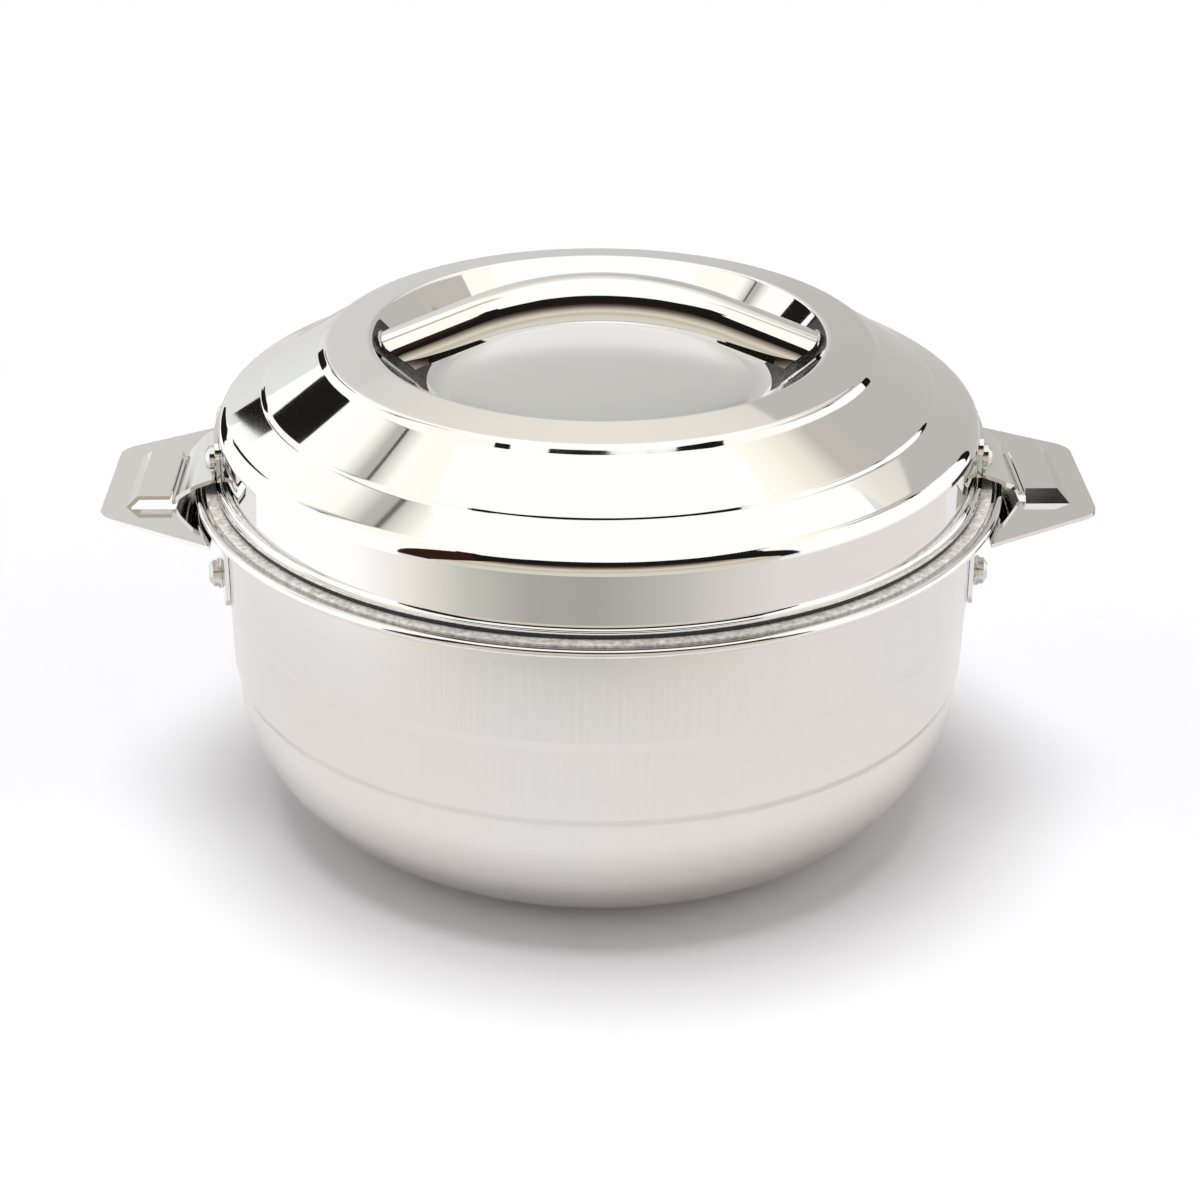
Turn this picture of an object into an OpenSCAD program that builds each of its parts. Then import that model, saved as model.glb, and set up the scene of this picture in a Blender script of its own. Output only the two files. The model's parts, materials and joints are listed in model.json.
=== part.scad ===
// Insulated chapati casserole: a double-walled steel pot with two plate
// handles, and a double-walled lid that turns to lock under them.
// Millimetres, +Z up, origin at the centre of the foot. The handles point
// along X; the parts of the left side are the right ones turned half a turn.

/* [Pot] */
// Outer radius of the rolled rim
rim_r = 120; // [110:1:130]
// Height of the middle of the rolled rim
rim_z = 105; // [95:1:125]
// Radius of the rolled edge itself
bead_r = 1.3; // [1.1:0.1:1.8]
// How far the rim overhangs the upper wall
rim_overhang = 7.5; // [7:0.1:9]
// Inside radius of the curve from the wall to the rim
under_rim_r = 4; // [3:0.1:4.2]
// Thickness of the outer sheet
shell_t = 0.8; // [0.6:0.05:1]
// Radius of the round bottom corner
corner_r = 46; // [38:1:48]
// Height where the lower drawn ring starts
low_ring_z = 47.2; // [45:0.2:52]
// Height where the upper drawn ring starts
high_ring_z = 71.5; // [62:0.2:75]
// Height of the slope of each drawn ring
ring_slope_h = 2.8; // [1.5:0.1:4]
// How far each drawn ring steps in
ring_step = 0.9; // [0.4:0.1:1.4]
// Draft of the wall between the two rings
wall_draft = 0.4; // [0:0.1:0.8]
// Radius of the raised middle of the foot
dish_r = 50; // [40:1:55]
// Height of the raised middle of the foot
dish_h = 2; // [1.6:0.1:3]

/* [Inner bowl] */
// Thickness of the foam between the walls
foam_t = 7.9; // [7:0.1:10]
// Thickness of the bowl sheet
bowl_t = 0.7; // [0.5:0.05:1]
// Height of the bowl floor inside
bowl_floor_z = 14; // [11:0.5:20]
// Radius of the round corner at the bowl floor
bowl_corner_r = 32; // [20:1:38]
// Radius of the lip from the bowl wall to its ledge
bowl_lip_r = 3; // [2:0.1:4]
// Gap between the trimmed ledge and the rolled rim
ledge_gap = 0.5; // [0.3:0.1:0.9]

/* [Handle plates] */
// How far the plate reaches past the rim
plate_reach = 26; // [20:0.5:32]
// Drop from the middle of the rim to the plate's top
plate_drop = 3.3; // [3:0.1:4.5]
// Plate thickness
plate_t = 1.2; // [1:0.05:1.5]
// Half width of the plate where it leaves the wall
plate_root_half = 46; // [42:0.5:52]
// How much the sides of the plate draw in, in degrees
plate_taper = 31.8; // [26:0.2:34]
// Radius of the plate's outer corners
plate_corner_r = 8; // [5:0.5:10]
// Half width of the tab that is bent down the wall
tab_half = 30; // [26:0.5:33]
// Length of the tab below the plate's top
tab_len = 29.5; // [28:0.5:34]
// Radius of the tab's lower corners
tab_corner_r = 7; // [4:0.5:9]
// Inside radius of the bend from plate to tab
bend_r = 2; // [1.5:0.1:3]

/* [Lock pockets] */
// Distance from the rim to the pocket's mouth
pocket_gap = 5.9; // [5.7:0.1:7]
// Width of the flat pocket roof, measured outwards
pocket_roof_w = 9.5; // [8.5:0.1:12]
// Height of the pocket above the plate
pocket_h = 3.5; // [3.4:0.1:4]
// Distance from the handle's middle to the pocket's open end
pocket_open_y = 18.6; // [17:0.2:21]
// Distance from the handle's middle to the roof's closed end
pocket_shut_y = 14.7; // [14:0.1:16]
// How far the cuts in the plate lie past the roof's two open edges
slot_past = 1.6; // [0.5:0.1:2.5]

/* [Lid] */
// How far the lid wall stands in from the rim
lid_inset = 7.8; // [7.4:0.1:8.6]
// Thickness of the lid sheet
lid_t = 0.7; // [0.5:0.05:0.9]
// Width of the turned-out hem at the lid's foot
hem_w = 1.6; // [1.5:0.1:2]
// Radius between the lid wall and its hem
hem_fillet_r = 1.4; // [1.1:0.1:1.5]
// Height of the middle of the shoulder curve above the hem
shoulder_h = 14.8; // [14:0.2:18]
// Radius of the shoulder
shoulder_r = 5.5; // [4:0.5:7]
// How far the drawn step stands in from the lid wall
step_inset = 12.9; // [11:0.2:15]
// Height of the drawn step above the hem
step_h = 25.2; // [24:0.2:27]
// Depth of the drawn step
step_rise = 0.5; // [0.3:0.1:0.8]
// How far the crown ring's edge stands in from the lid wall
crown_inset = 32; // [28:0.5:36]
// Height of the crown ring's edge above the hem
crown_h = 38.4; // [36:0.2:42]
// Width of the crown ring
crown_w = 12.9; // [10:0.2:16]
// Rise of the crown ring to the edge of the recess
crown_rise = 2.1; // [1:0.1:3]
// Depth of the recess under the handle
recess_depth = 15.8; // [12:0.2:17]
// Width of the recess's sloping wall
recess_wall_w = 17.2; // [15:0.2:19]
// Radius between the recess wall and its floor
recess_fillet_r = 4; // [2:0.5:5]

/* [Lid liner and seal] */
// Thickness of the liner sheet
liner_t = 0.6; // [0.4:0.05:0.8]
// Clearance from the liner to the bowl wall
liner_gap = 1.2; // [0.8:0.1:2]
// How far the liner dips into the bowl
liner_dip = 6.5; // [5:0.5:9]
// Rise of the liner towards its middle
liner_dome = 1.5; // [0.5:0.1:3]
// Radius of the liner's bottom corner
liner_corner_r = 4; // [3:0.5:4.5]
// Thickness of the seal ring
seal_t = 1.4; // [1:0.1:2]
// Width of the seal ring
seal_w = 6; // [4:0.2:6.4]

/* [Lid handle] */
// Half width of the half-round handle
grip_r = 11; // [9:0.2:12]
// Sheet thickness of the handle
grip_t = 1; // [0.8:0.05:1.2]
// Height of the half-round section
grip_h = 10.3; // [9:0.1:10.6]
// Radius of the arch along its ridge
arch_r = 100; // [95:1:110]
// Half angle of the arch before its straight ends, in degrees
arch_half_angle = 22.3; // [21:0.1:23]
// Height of the ridge above the recess edge
ridge_rise = 17.5; // [16:0.2:19]

/* [Lid lugs] */
// Thickness of the lug strap
lug_t = 1.2; // [1:0.05:1.3]
// Height of the lug's upright above the hem
lug_upright_h = 12.7; // [11.5:0.1:13.5]
// Half width of the lug on the side that leads out of the pocket
lug_lead_half = 21; // [19:0.5:23]
// Half width of the lug on the other side
lug_trail_half = 19; // [17:0.5:20]
// Distance of the strap's leading edge from the middle at the pocket's mouth
mouth_lead = 18.2; // [16:0.1:18.4]
// Distance of the lug tongue's leading edge from the middle
tongue_lead = 11.5; // [8:0.1:13]
// Distance of the lug tongue's trailing edge from the middle
tongue_trail = 13.8; // [12:0.1:14]
// Length of the tongue under the pocket roof
tongue_len = 7.1; // [5:0.1:7.6]
// Height of the tongue above the plate
tongue_lift = 0.65; // [0.4:0.05:0.8]

/* [Fasteners] */
// Screw shank diameter
screw_d = 4; // [3:0.5:5]
// Diameter of the holes the screws pass through
screw_hole_d = 4.4; // [4.3:0.1:4.8]
// Screw head diameter
head_d = 8; // [7:0.2:9]
// Screw head height
head_h = 2.6; // [2:0.1:3]
// Shank length under the head
screw_len = 8; // [7:0.5:9]
// Washer diameter
washer_d = 9; // [8.6:0.2:10]
// Washer thickness
washer_t = 0.8; // [0.6:0.1:1]
// Nut width across its flats
nut_flats = 7; // [6.5:0.5:8]
// Nut height
nut_h = 3.2; // [2.5:0.1:3.5]
// Distance between the two screws of one fitting
screw_pitch = 30; // [24:1:34]
// Height of the handle screws above the tab's lower edge
body_screw_h = 6.3; // [6:0.1:9]
// Height of the lug screws above the hem
lug_screw_h = 6.8; // [6.6:0.1:7.2]

/* [Fill plug] */
// Diameter of the hole that the foam is filled through
plug_d = 12; // [10:0.5:16]
// Length of the plug inside the foam
plug_len = 6; // [4:0.5:8]

/* [Hidden] */
$fn = 96;

fit = 0.05;         // gap between pieces that lie on each other
play = 0.1;         // gap between a sheet and what is formed round it
foam_gap = 0.15;    // gap round the foam
nut_play = 1;       // room in the foam round a nut
thread_play = 0.05; // radial gap of a screw in its nut
seal_edge = 0.3;    // how far the seal stands in from the hem
mouth_gap = 0.4;    // between the strap's end and the pocket's roof
sweep = 60;         // longer than half of any strap or pocket
tiny = 0.01;

// Pot
wall_r = rim_r - rim_overhang;
mid_r = wall_r - ring_step;
low_r = mid_r - wall_draft - ring_step;
bead_c = rim_r - bead_r;
ledge_z = rim_z + shell_t + fit + bowl_t;
ledge_r = bead_c - bead_r - ledge_gap;
bowl_r = wall_r - shell_t - foam_t - bowl_t;

// Handles and pockets
plate_z = rim_z - plate_drop;
plate_end = rim_r + plate_reach;
tab_r = wall_r + play;
bend_c = tab_r + plate_t + bend_r;
root_x = wall_r - 1;      // the plate's root lies inside the wall's curve
root_gap = tab_r - wall_r + 0.5;
pocket_in = rim_r + pocket_gap;
pocket_out = pocket_in + pocket_roof_w;
roof_z = plate_z + pocket_h;
body_screw_z = plate_z - tab_len + body_screw_h;

// Lid
lid_r = rim_r - lid_inset;
seat_z = ledge_z + fit + seal_t + fit;
hem_z = seat_z + lid_t;
hem_r = lid_r + hem_w;
crown_r = lid_r - crown_inset;
recess_r = crown_r - crown_w;
recess_z = hem_z + crown_h + crown_rise;
floor_r = recess_r - recess_wall_w;
floor_z = recess_z - recess_depth;
liner_r = bowl_r - liner_gap;
liner_z = ledge_z - liner_dip;
liner_flat_r = 30;
liner_slope_w = 25;
ridge_z = recess_z + ridge_rise;
lug_r = lid_r + play;
lug_screw_z = hem_z + lug_screw_h;
tongue_z = plate_z + tongue_lift + lug_t;

// Points along an arc round c, from angle a to angle b
function arc(c, r, a, b, n = 8) =
    [for (i = [0:n]) c + r * [cos(a + (b - a) * i / n), sin(a + (b - a) * i / n)]];
function unit(a, b) = (b - a) / norm(b - a);
function left_of(v) = [-v[1], v[0]];
function reversed(p) = [for (i = [len(p) - 1:-1:0]) p[i]];
// The line p moved sideways by d, to its left where d is positive
function beside(p, d) = let (last = len(p) - 1)
    [for (i = [0:last])
        let (a = left_of(unit(p[max(i - 1, 0)], p[max(i, 1)])),
             b = left_of(unit(p[min(i, last - 1)], p[min(i + 1, last)])))
        p[i] + (a + b) * 2 * d / ((a + b) * (a + b))];

// Outside of the pot, from the middle of the foot up to the rim's curve
pot_line = concat(
    [[0, dish_h], [dish_r, dish_h], [dish_r + 2 * dish_h, 0]],
    arc([low_r - corner_r, corner_r], corner_r, -90, 0, 18),
    [[low_r, low_ring_z],
     [mid_r - wall_draft, low_ring_z + ring_slope_h],
     [mid_r, high_ring_z],
     [wall_r, high_ring_z + ring_slope_h]]);
rim_line = concat(pot_line,
    arc([wall_r + under_rim_r, rim_z - under_rim_r], under_rim_r, 180, 90, 6));

// Inside of the bowl, from the middle of its floor to the ledge
bowl_wall_line = concat(
    [[0, bowl_floor_z]],
    arc([bowl_r - bowl_corner_r, bowl_floor_z + bowl_corner_r], bowl_corner_r, -90, 0, 14));
bowl_line = concat(bowl_wall_line,
    arc([bowl_r + bowl_lip_r, ledge_z - bowl_lip_r], bowl_lip_r, 180, 90, 6),
    [[ledge_r, ledge_z]]);

// Top of the lid, from the middle of the recess to the hem
recess_angle = atan2(recess_depth, recess_wall_w);
fillet_run = recess_fillet_r * tan(recess_angle / 2);
lip_w = 0.9;        // breaks the edge between the recess wall and the crown ring
lip_h = 0.5;
edge_w = 1.2;       // breaks the outer edge of the crown ring
edge_h = 0.3;
step_w = 0.8;
step_r = lid_r - step_inset;
step_z = hem_z + step_h;
shoulder_c = [lid_r - shoulder_r, hem_z + shoulder_h];
lid_top_line = concat(
    [[0, floor_z]],
    arc([floor_r - fillet_run, floor_z + recess_fillet_r], recess_fillet_r,
        -90, recess_angle - 90, 4),
    [[recess_r - lip_w, recess_z - lip_h],
     [recess_r, recess_z],
     [crown_r - edge_w, hem_z + crown_h + edge_h],
     [crown_r, hem_z + crown_h - edge_h],
     [step_r - step_w, step_z + step_rise],
     [step_r, step_z]],
    arc(shoulder_c, shoulder_r, 62, 0, 8),
    [[lid_r, hem_z + hem_fillet_r]]);
lid_line = concat(lid_top_line,
    arc([lid_r + hem_fillet_r, hem_z + hem_fillet_r], hem_fillet_r, 198, 270, 4),
    [[hem_r, hem_z]]);

// Underside of the liner, from its middle to its flange
liner_pan_line = concat(
    [[0, liner_z + liner_dome],
     [liner_flat_r, liner_z + liner_dome],
     [liner_r - liner_slope_w, liner_z + liner_dome / 4]],
    arc([liner_r - liner_corner_r, liner_z + liner_corner_r], liner_corner_r, -90, 0, 6));
liner_line = concat(liner_pan_line,
    arc([liner_r + liner_t, seat_z - liner_t], liner_t, 180, 90, 3),
    [[lid_r - lid_t - 2 * play, seat_z]]);

// A sheet of thickness t on the left of a line, turned round the axis
module spun_sheet(line, t) {
    rotate_extrude() polygon(concat(line, reversed(beside(line, t))));
}

// Places children on the left or the right side
module on_left() {
    rotate([0, 0, 180]) children();
}

// Places children at both screws of a fitting on a wall of radius r. They
// stand at radius out, and their +Z points out of the wall.
module at_screws(r, out, z) {
    turn = asin(screw_pitch / 2 / r);
    for (a = [-turn, turn])
        rotate([0, 0, a]) translate([out, 0, z]) rotate([0, 90, 0]) children();
}

module screw_holes(r, z) {
    at_screws(r, r, z) cylinder(d = screw_hole_d, h = 12, center = true, $fn = 32);
}

// Room in the foam behind a sheet of radius r for its two nuts
module nut_room(r, inside, z) {
    at_screws(r, inside, z) translate([0, 0, -nut_h - nut_play - 2])
        cylinder(d = nut_flats / cos(30) + nut_play, h = nut_h + nut_play + 4, $fn = 32);
}

// ---- Pot ----

module outer_shell() {
    flange_a = asin(shell_t / bead_r);
    color("silver") difference() {
        rotate_extrude() polygon(concat(
            rim_line,
            arc([bead_c, rim_z], bead_r, 180, 540 - flange_a, 16),
            reversed(beside(rim_line, shell_t))));
        translate([0, 0, -1]) cylinder(d = plug_d, h = dish_h + 4, $fn = 48);
        screw_holes(tab_r, body_screw_z);
        on_left() screw_holes(tab_r, body_screw_z);
    }
}

module body_insulation() {
    top_z = rim_z - under_rim_r - 1;
    outer = beside(pot_line, shell_t + foam_gap);
    inner = beside(bowl_wall_line, -bowl_t - foam_gap);
    color("lightyellow") difference() {
        rotate_extrude() polygon(concat(
            outer,
            [[wall_r - shell_t - foam_gap, top_z], [bowl_r + bowl_t + foam_gap, top_z]],
            reversed(inner)));
        cylinder(d = plug_d + 2 * foam_gap, h = dish_h + shell_t + plug_len + 1, $fn = 48);
        nut_room(tab_r, wall_r - shell_t, body_screw_z);
        on_left() nut_room(tab_r, wall_r - shell_t, body_screw_z);
    }
}

module inner_bowl() {
    color("gainsboro") spun_sheet(bowl_line, -bowl_t);
}

module fill_plug() {
    cap_h = dish_h - 0.8;
    color("dimgray") {
        translate([0, 0, dish_h - cap_h - fit])
            cylinder(d = plug_d + 5, h = cap_h, $fn = 48);
        translate([0, 0, dish_h - fit - tiny])
            cylinder(d = plug_d - 2 * fit, h = shell_t + plug_len, $fn = 48);
    }
}

// ---- Handle plates with their lock pockets ----

// Half of the plate's outline, from its root to its end
function plate_side(s) = let (
        n = [sin(plate_taper), cos(plate_taper)],
        reach = [root_x, plate_root_half] * n,
        cx = plate_end - plate_corner_r,
        cy = (reach - plate_corner_r - cx * n[0]) / n[1],
        corner = arc([cx, cy], plate_corner_r, 90 - plate_taper, 0, 6))
    [for (p = concat([[root_x, plate_root_half]], corner)) [p[0], s * p[1]]];

module plate_sheet() {
    translate([0, 0, plate_z - plate_t]) linear_extrude(plate_t) difference() {
        polygon(concat(plate_side(1), reversed(plate_side(-1))));
        circle(r = wall_r + root_gap);
        intersection() {
            circle(r = bend_c);
            translate([0, -tab_half]) square([rim_r, 2 * tab_half]);
        }
    }
}

// The tab and its bend, as a sheet formed round the wall
module tab_sheet() {
    low = plate_z - tab_len;
    overlap = 0.5;
    line = concat(
        [[tab_r, low]],
        arc([bend_c, plate_z - plate_t - bend_r], bend_r + plate_t, 180, 90, 6),
        [[bend_c + overlap, plate_z]]);
    intersection() {
        spun_sheet(line, -plate_t);
        rotate([90, 0, 90]) linear_extrude(rim_r) {
            translate([-tab_half, low + tab_corner_r])
                square([2 * tab_half, tab_len]);
            translate([-tab_half + tab_corner_r, low])
                square([2 * (tab_half - tab_corner_r), tab_len]);
            for (s = [-1, 1])
                translate([s * (tab_half - tab_corner_r), low + tab_corner_r])
                    circle(r = tab_corner_r, $fn = 48);
        }
    }
}

// The form of a pocket, t inside its skin: its sides fall at 45 degrees and
// its open faces stand past the skin's edges by the given amount
module pocket_form(t, past) {
    top = roof_z - t;
    low = plate_z - plate_t - past;
    fall = roof_z - plate_z + plate_t - t;
    skin = t * tan(22.5);
    out = pocket_out - skin;
    shut = -pocket_shut_y + skin;
    intersection() {
        translate([0, sweep, 0]) rotate([90, 0, 0]) linear_extrude(2 * sweep)
            polygon([[pocket_in - past, top], [out, top],
                [out + fall, top - fall], [out + fall, low], [pocket_in - past, low]]);
        rotate([90, 0, 90]) linear_extrude(2 * rim_r)
            polygon([[pocket_open_y + past, top], [shut, top],
                [shut - fall, top - fall], [shut - fall, low], [pocket_open_y + past, low]]);
    }
}

module handle_plate() {
    color("lightgray") difference() {
        union() {
            plate_sheet();
            tab_sheet();
            pocket_form(0, 0);
        }
        pocket_form(plate_t, slot_past);
        screw_holes(tab_r, body_screw_z);
    }
}

module handle_plate_right() {
    handle_plate();
}

module handle_plate_left() {
    on_left() handle_plate();
}

// ---- Fasteners ----

// Pan-head screw with a cross recess; its head stands on z = 0
module screw() {
    crown_h = head_h * 0.45;
    top_d = head_d * 0.55;
    slot_w = 1;
    slot_l = head_d * 0.58;
    difference() {
        union() {
            cylinder(d = head_d, h = head_h - crown_h, $fn = 48);
            translate([0, 0, head_h - crown_h - tiny])
                cylinder(d1 = head_d, d2 = top_d, h = crown_h, $fn = 48);
            translate([0, 0, -screw_len]) cylinder(d = screw_d, h = screw_len + tiny, $fn = 32);
        }
        for (a = [0, 90]) rotate([0, 0, a])
            translate([-slot_l / 2, -slot_w / 2, head_h - crown_h - slot_w / 2])
                cube([slot_l, slot_w, head_h]);
    }
}

module washer() {
    difference() {
        cylinder(d = washer_d, h = washer_t, $fn = 48);
        translate([0, 0, -1]) cylinder(d = screw_hole_d, h = washer_t + 2, $fn = 32);
    }
}

module nut() {
    difference() {
        cylinder(d = nut_flats / cos(30), h = nut_h, $fn = 6);
        translate([0, 0, -1])
            cylinder(d = screw_d + 2 * thread_play, h = nut_h + 2, $fn = 32);
    }
}

// A washer is flat and the tab is round, so it stands off by the tab's bow
tab_bow = plate_t + washer_d * washer_d / 8 / tab_r + fit;
washer_seat = tab_r + tab_bow;
lug_seat = lug_r + lug_t + head_d * head_d / 8 / lug_r + fit;

module body_screws() {
    color("darkgray") at_screws(tab_r, washer_seat + washer_t + fit, body_screw_z) screw();
}

module body_screws_right() {
    body_screws();
}

module body_screws_left() {
    on_left() body_screws();
}

module body_washers() {
    color("silver") at_screws(tab_r, washer_seat, body_screw_z) washer();
}

module body_washers_right() {
    body_washers();
}

module body_washers_left() {
    on_left() body_washers();
}

// A nut stands on its two outer corners against the inside of a curved sheet
function nut_seat(r) = sqrt(r * r - nut_flats * nut_flats / 3) - fit - nut_h;

module body_nuts() {
    color("darkgray") at_screws(tab_r, nut_seat(wall_r - shell_t), body_screw_z) nut();
}

module body_nuts_right() {
    body_nuts();
}

module body_nuts_left() {
    on_left() body_nuts();
}

// ---- Seal ----

module lid_seal() {
    out = hem_r - seal_edge;
    color("dimgray") translate([0, 0, ledge_z + fit]) difference() {
        cylinder(r = out, h = seal_t, $fn = 180);
        translate([0, 0, -1]) cylinder(r = out - seal_w, h = seal_t + 2, $fn = 180);
    }
}

// ---- Lid ----

module lid_dome() {
    color("silver") difference() {
        spun_sheet(lid_line, -lid_t);
        screw_holes(lug_r, lug_screw_z);
        on_left() screw_holes(lug_r, lug_screw_z);
    }
}

module lid_insulation() {
    top = beside(lid_top_line, -lid_t - foam_gap);
    bottom = beside(liner_pan_line, liner_t + foam_gap);
    above_flange = seat_z + liner_t + foam_gap;
    color("lightyellow") difference() {
        rotate_extrude() polygon(concat(
            top,
            [[lid_r - lid_t - 2 * play - foam_gap, above_flange],
             [liner_r - liner_t - foam_gap, above_flange]],
            reversed(bottom)));
        nut_room(lug_r, lid_r - lid_t, lug_screw_z);
        on_left() nut_room(lug_r, lid_r - lid_t, lug_screw_z);
    }
}

module lid_liner() {
    color("gainsboro") spun_sheet(liner_line, liner_t);
}

// Half-round section of the handle, with its ridge at x = 0
module grip_section() {
    translate([-grip_r, 0]) difference() {
        circle(r = grip_r);
        circle(r = grip_r - grip_t);
        translate([-grip_r - grip_h, -grip_r - 1]) square([2 * grip_r, 2 * grip_r + 2]);
    }
}

// The handle before its ends are cut: an arch with a straight run at each end
module grip_sweep() {
    translate([0, 0, ridge_z - arch_r]) {
        rotate([90, 0, 0]) rotate([0, 0, 90 - arch_half_angle])
            rotate_extrude(angle = 2 * arch_half_angle) translate([arch_r, 0]) grip_section();
        for (s = [0, 180]) rotate([0, 0, s])
            rotate([90, 0, 0]) rotate([0, 0, 90 - arch_half_angle])
                rotate([90, 0, 0]) translate([0, 0, -tiny])
                    linear_extrude(recess_r) translate([arch_r, 0]) grip_section();
    }
}

// The ends of the handle are cut to the recess wall, where they are welded on
module lid_handle() {
    weld_gap = 0.3;
    top = ridge_z + 1;
    color("silver") intersection() {
        grip_sweep();
        rotate_extrude() polygon([
            [0, floor_z + weld_gap],
            [floor_r, floor_z + weld_gap],
            [recess_r - lip_w - weld_gap, recess_z - lip_h],
            [recess_r - weld_gap, recess_z + weld_gap],
            [recess_r - weld_gap, top],
            [0, top]]);
    }
}

// Top of the lug strap: out over the rim, steeply down, and into the tongue,
// which is flat from just before the pocket's mouth
tongue_start = pocket_in - 0.95;
strap_line = [
    [lug_r, hem_z + 3],
    [lug_r + 5.4, hem_z + 1.1],
    [lug_r + 7.8, hem_z - 0.3],
    [tongue_start - 3.05, tongue_z + 3.5],
    [tongue_start - 1.05, tongue_z + 1.7],
    [tongue_start, tongue_z],
    [tongue_start + tongue_len, tongue_z]];

module lid_lug() {
    bend = pocket_in - 1.5;
    flare = bend - 5;
    tip = pocket_in + tongue_len;
    chamfer = 1.5;
    corner = 4;
    upright_z = hem_fillet_r + 0.4;
    color("lightgray") difference() {
        union() {
            // strap and tongue
            intersection() {
                translate([0, sweep, 0]) rotate([90, 0, 0]) linear_extrude(2 * sweep)
                    polygon(concat(strap_line, reversed(beside(strap_line, -lug_t))));
                translate([0, 0, plate_z]) linear_extrude(lug_screw_z - plate_z)
                    polygon([[0, -lug_trail_half],
                        [flare, -lug_trail_half],
                        [bend, -tongue_trail],
                        [tip - chamfer, -tongue_trail],
                        [tip, -tongue_trail + chamfer],
                        [tip, tongue_lead - chamfer],
                        [tip - chamfer, tongue_lead],
                        [pocket_in, tongue_lead],
                        [pocket_in - mouth_gap, mouth_lead],
                        [bend, mouth_lead],
                        [flare, lug_lead_half],
                        [0, lug_lead_half]]);
            }
            // upright against the lid wall
            intersection() {
                translate([0, 0, hem_z + upright_z])
                    cylinder(r = lug_r + lug_t, h = lug_upright_h - upright_z, $fn = 180);
                rotate([90, 0, 90]) linear_extrude(rim_r) polygon(concat(
                    [[-lug_trail_half, hem_z], [lug_lead_half, hem_z]],
                    arc([lug_lead_half - corner, hem_z + lug_upright_h - corner],
                        corner, 0, 90, 5),
                    arc([corner - lug_trail_half, hem_z + lug_upright_h - corner],
                        corner, 90, 180, 5)));
            }
        }
        cylinder(r = lug_r, h = hem_z + lug_upright_h + 1, $fn = 180);
        screw_holes(lug_r, lug_screw_z);
    }
}

module lid_lug_right() {
    lid_lug();
}

module lid_lug_left() {
    on_left() lid_lug();
}

module lid_screws() {
    color("darkgray") at_screws(lug_r, lug_seat, lug_screw_z) screw();
}

module lid_screws_right() {
    lid_screws();
}

module lid_screws_left() {
    on_left() lid_screws();
}

module lid_nuts() {
    color("darkgray") at_screws(lug_r, nut_seat(lid_r - lid_t), lug_screw_z) nut();
}

module lid_nuts_right() {
    lid_nuts();
}

module lid_nuts_left() {
    on_left() lid_nuts();
}

outer_shell();
body_insulation();
inner_bowl();
fill_plug();
handle_plate_right();
handle_plate_left();
body_screws_right();
body_screws_left();
body_washers_right();
body_washers_left();
body_nuts_right();
body_nuts_left();
lid_seal();
lid_dome();
lid_insulation();
lid_liner();
lid_handle();
lid_lug_right();
lid_lug_left();
lid_screws_right();
lid_screws_left();
lid_nuts_right();
lid_nuts_left();
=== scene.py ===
# %% [markdown]
# # An insulated chapati casserole in polished steel
# The casserole is a double-walled pot with two plate handles, and a double-walled lid that is
# turned to lock. Its solids come packed, at their real size, and they are the frame of this
# scene. Every piece made here sits where its solid sits. What is added is what a solid modeller
# leaves out: drawn radii, folded edges, polish, weld beads and the studio that steel mirrors.

# %% Load the frame
import json
import math

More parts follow.
